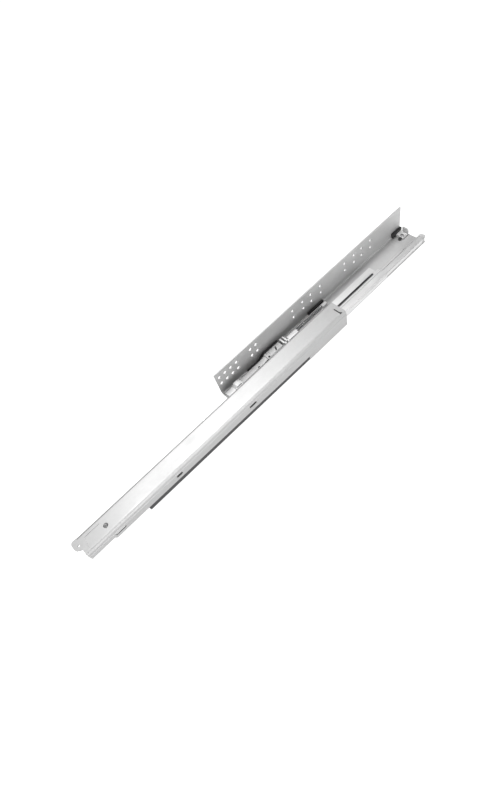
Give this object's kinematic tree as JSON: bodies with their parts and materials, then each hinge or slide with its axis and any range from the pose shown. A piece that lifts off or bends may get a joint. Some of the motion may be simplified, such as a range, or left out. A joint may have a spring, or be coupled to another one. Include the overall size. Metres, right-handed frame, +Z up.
{
  "type": "cabinet drawer slide",
  "caption": "Concealed soft-close drawer slide, left hand: cabinet bracket, middle and drawer members on roller cages, shown partly pulled out",
  "frame": {"origin": "centre of the bracket flange's outer face, the face that is screwed to the cabinet's side", "axes": "+X from the cabinet's side towards the drawer; +Y along the travel towards the back of the cabinet; +Z up"},
  "size_m": [0.0523, 0.5758, 0.0409],
  "materials": {
    "zinc_sheet": "bright zinc-plated cold-rolled sheet",
    "zinc_bracket": "zinc-plated sheet, duller than the members",
    "steel_pin": "plain bright steel pins, rivets, rod and spring",
    "light_plastic": "pale grey moulded plastic",
    "grey_plastic": "dark grey moulded plastic",
    "black_plastic": "black moulded nylon",
    "roller_plastic": "natural white nylon rollers"
  },
  "bodies": {
    "cabinet": {"mounting_bracket": "zinc_bracket", "fixed_rail": "zinc_sheet", "rail_end_cap": "light_plastic", "rail_rivet_1": "steel_pin", "rail_rivet_2": "steel_pin", "rail_rivet_3": "steel_pin", "rear_stop": "black_plastic", "rear_stop_pin": "steel_pin", "closer_tray": "light_plastic", "closer_front_block": "light_plastic", "damper_casing": "light_plastic", "closer_cover": "light_plastic", "closer_spring": "steel_pin", "closer_end_block": "black_plastic", "rear_stop_seat": "grey_plastic", "rear_stop_plate": "light_plastic", "closer_side_bar": "black_plastic", "closer_rear_floor": "grey_plastic", "spring_anchor": "grey_plastic", "rear_stop_buffer": "black_plastic"},
    "catch": {"catch": "light_plastic", "damper_rod": "steel_pin"},
    "middle": {"middle_member": "zinc_sheet", "shoulder_strip": "black_plastic", "middle_buffer": "black_plastic"},
    "drawer": {"drawer_member": "zinc_sheet", "guide_strip": "black_plastic", "catch_striker": "steel_pin", "front_plug": "light_plastic", "rear_plug": "black_plastic"},
    "upper_cage": {"upper_cage": "black_plastic"},
    "lower_cage": {"lower_cage": "light_plastic"},
    "upper_roller_1": {"upper_roller_1": "roller_plastic"},
    "upper_roller_2": {"upper_roller_2": "roller_plastic"},
    "upper_roller_3": {"upper_roller_3": "roller_plastic"},
    "upper_roller_4": {"upper_roller_4": "roller_plastic"},
    "lower_roller_1": {"lower_roller_1": "steel_pin"},
    "lower_roller_2": {"lower_roller_2": "steel_pin"},
    "lower_roller_3": {"lower_roller_3": "steel_pin"},
    "lower_roller_4": {"lower_roller_4": "steel_pin"}
  },
  "joints": [
    {"name": "drawer_slide", "type": "slide", "parent": "cabinet", "child": "drawer", "axis": [0, 1, 0], "range_m": [-0.221, 0.169]},
    {"name": "middle_slide", "type": "slide", "parent": "cabinet", "child": "middle", "axis": [0, 1, 0], "range_m": [-0.1106, 0.0846]},
    {"name": "upper_cage_slide", "type": "slide", "parent": "cabinet", "child": "upper_cage", "axis": [0, 1, 0], "range_m": [-0.1659, 0.1269]},
    {"name": "lower_cage_slide", "type": "slide", "parent": "cabinet", "child": "lower_cage", "axis": [0, 1, 0], "range_m": [-0.0554, 0.0424]},
    {"name": "catch_slide", "type": "slide", "parent": "cabinet", "child": "catch", "axis": [0, 1, 0], "range_m": [0, 0.028]},
    {"name": "upper_roller_spin_1", "type": "hinge", "parent": "upper_cage", "child": "upper_roller_1", "pos_m": [0.0391, -0.2345, 0.00045], "axis": [1, 0, 0], "continuous": true},
    {"name": "upper_roller_spin_2", "type": "hinge", "parent": "upper_cage", "child": "upper_roller_2", "pos_m": [0.0391, -0.2025, 0.00045], "axis": [1, 0, 0], "continuous": true},
    {"name": "upper_roller_spin_3", "type": "hinge", "parent": "upper_cage", "child": "upper_roller_3", "pos_m": [0.0391, -0.1065, 0.00045], "axis": [1, 0, 0], "continuous": true},
    {"name": "upper_roller_spin_4", "type": "hinge", "parent": "upper_cage", "child": "upper_roller_4", "pos_m": [0.0391, -0.0745, 0.00045], "axis": [1, 0, 0], "continuous": true},
    {"name": "lower_roller_spin_1", "type": "hinge", "parent": "lower_cage", "child": "lower_roller_1", "pos_m": [0.03935, -0.15, -0.0066], "axis": [1, 0, 0], "continuous": true},
    {"name": "lower_roller_spin_2", "type": "hinge", "parent": "lower_cage", "child": "lower_roller_2", "pos_m": [0.03935, -0.118, -0.0066], "axis": [1, 0, 0], "continuous": true},
    {"name": "lower_roller_spin_3", "type": "hinge", "parent": "lower_cage", "child": "lower_roller_3", "pos_m": [0.03935, -0.022, -0.0066], "axis": [1, 0, 0], "continuous": true},
    {"name": "lower_roller_spin_4", "type": "hinge", "parent": "lower_cage", "child": "lower_roller_4", "pos_m": [0.03935, 0.01, -0.0066], "axis": [1, 0, 0], "continuous": true}
  ],
  "couplings": [
    {"joint": "middle_slide", "follows": "drawer_slide", "ratio": 0.5},
    {"joint": "upper_cage_slide", "follows": "drawer_slide", "ratio": 0.75},
    {"joint": "lower_cage_slide", "follows": "drawer_slide", "ratio": 0.25},
    {"joint": "upper_roller_spin_1", "follows": "drawer_slide", "rad_per_m": -64.935},
    {"joint": "upper_roller_spin_2", "follows": "drawer_slide", "rad_per_m": -64.935},
    {"joint": "upper_roller_spin_3", "follows": "drawer_slide", "rad_per_m": -64.935},
    {"joint": "upper_roller_spin_4", "follows": "drawer_slide", "rad_per_m": -64.935},
    {"joint": "lower_roller_spin_1", "follows": "drawer_slide", "rad_per_m": -151.51},
    {"joint": "lower_roller_spin_2", "follows": "drawer_slide", "rad_per_m": -151.51},
    {"joint": "lower_roller_spin_3", "follows": "drawer_slide", "rad_per_m": -151.51},
    {"joint": "lower_roller_spin_4", "follows": "drawer_slide", "rad_per_m": -151.51}
  ]
}
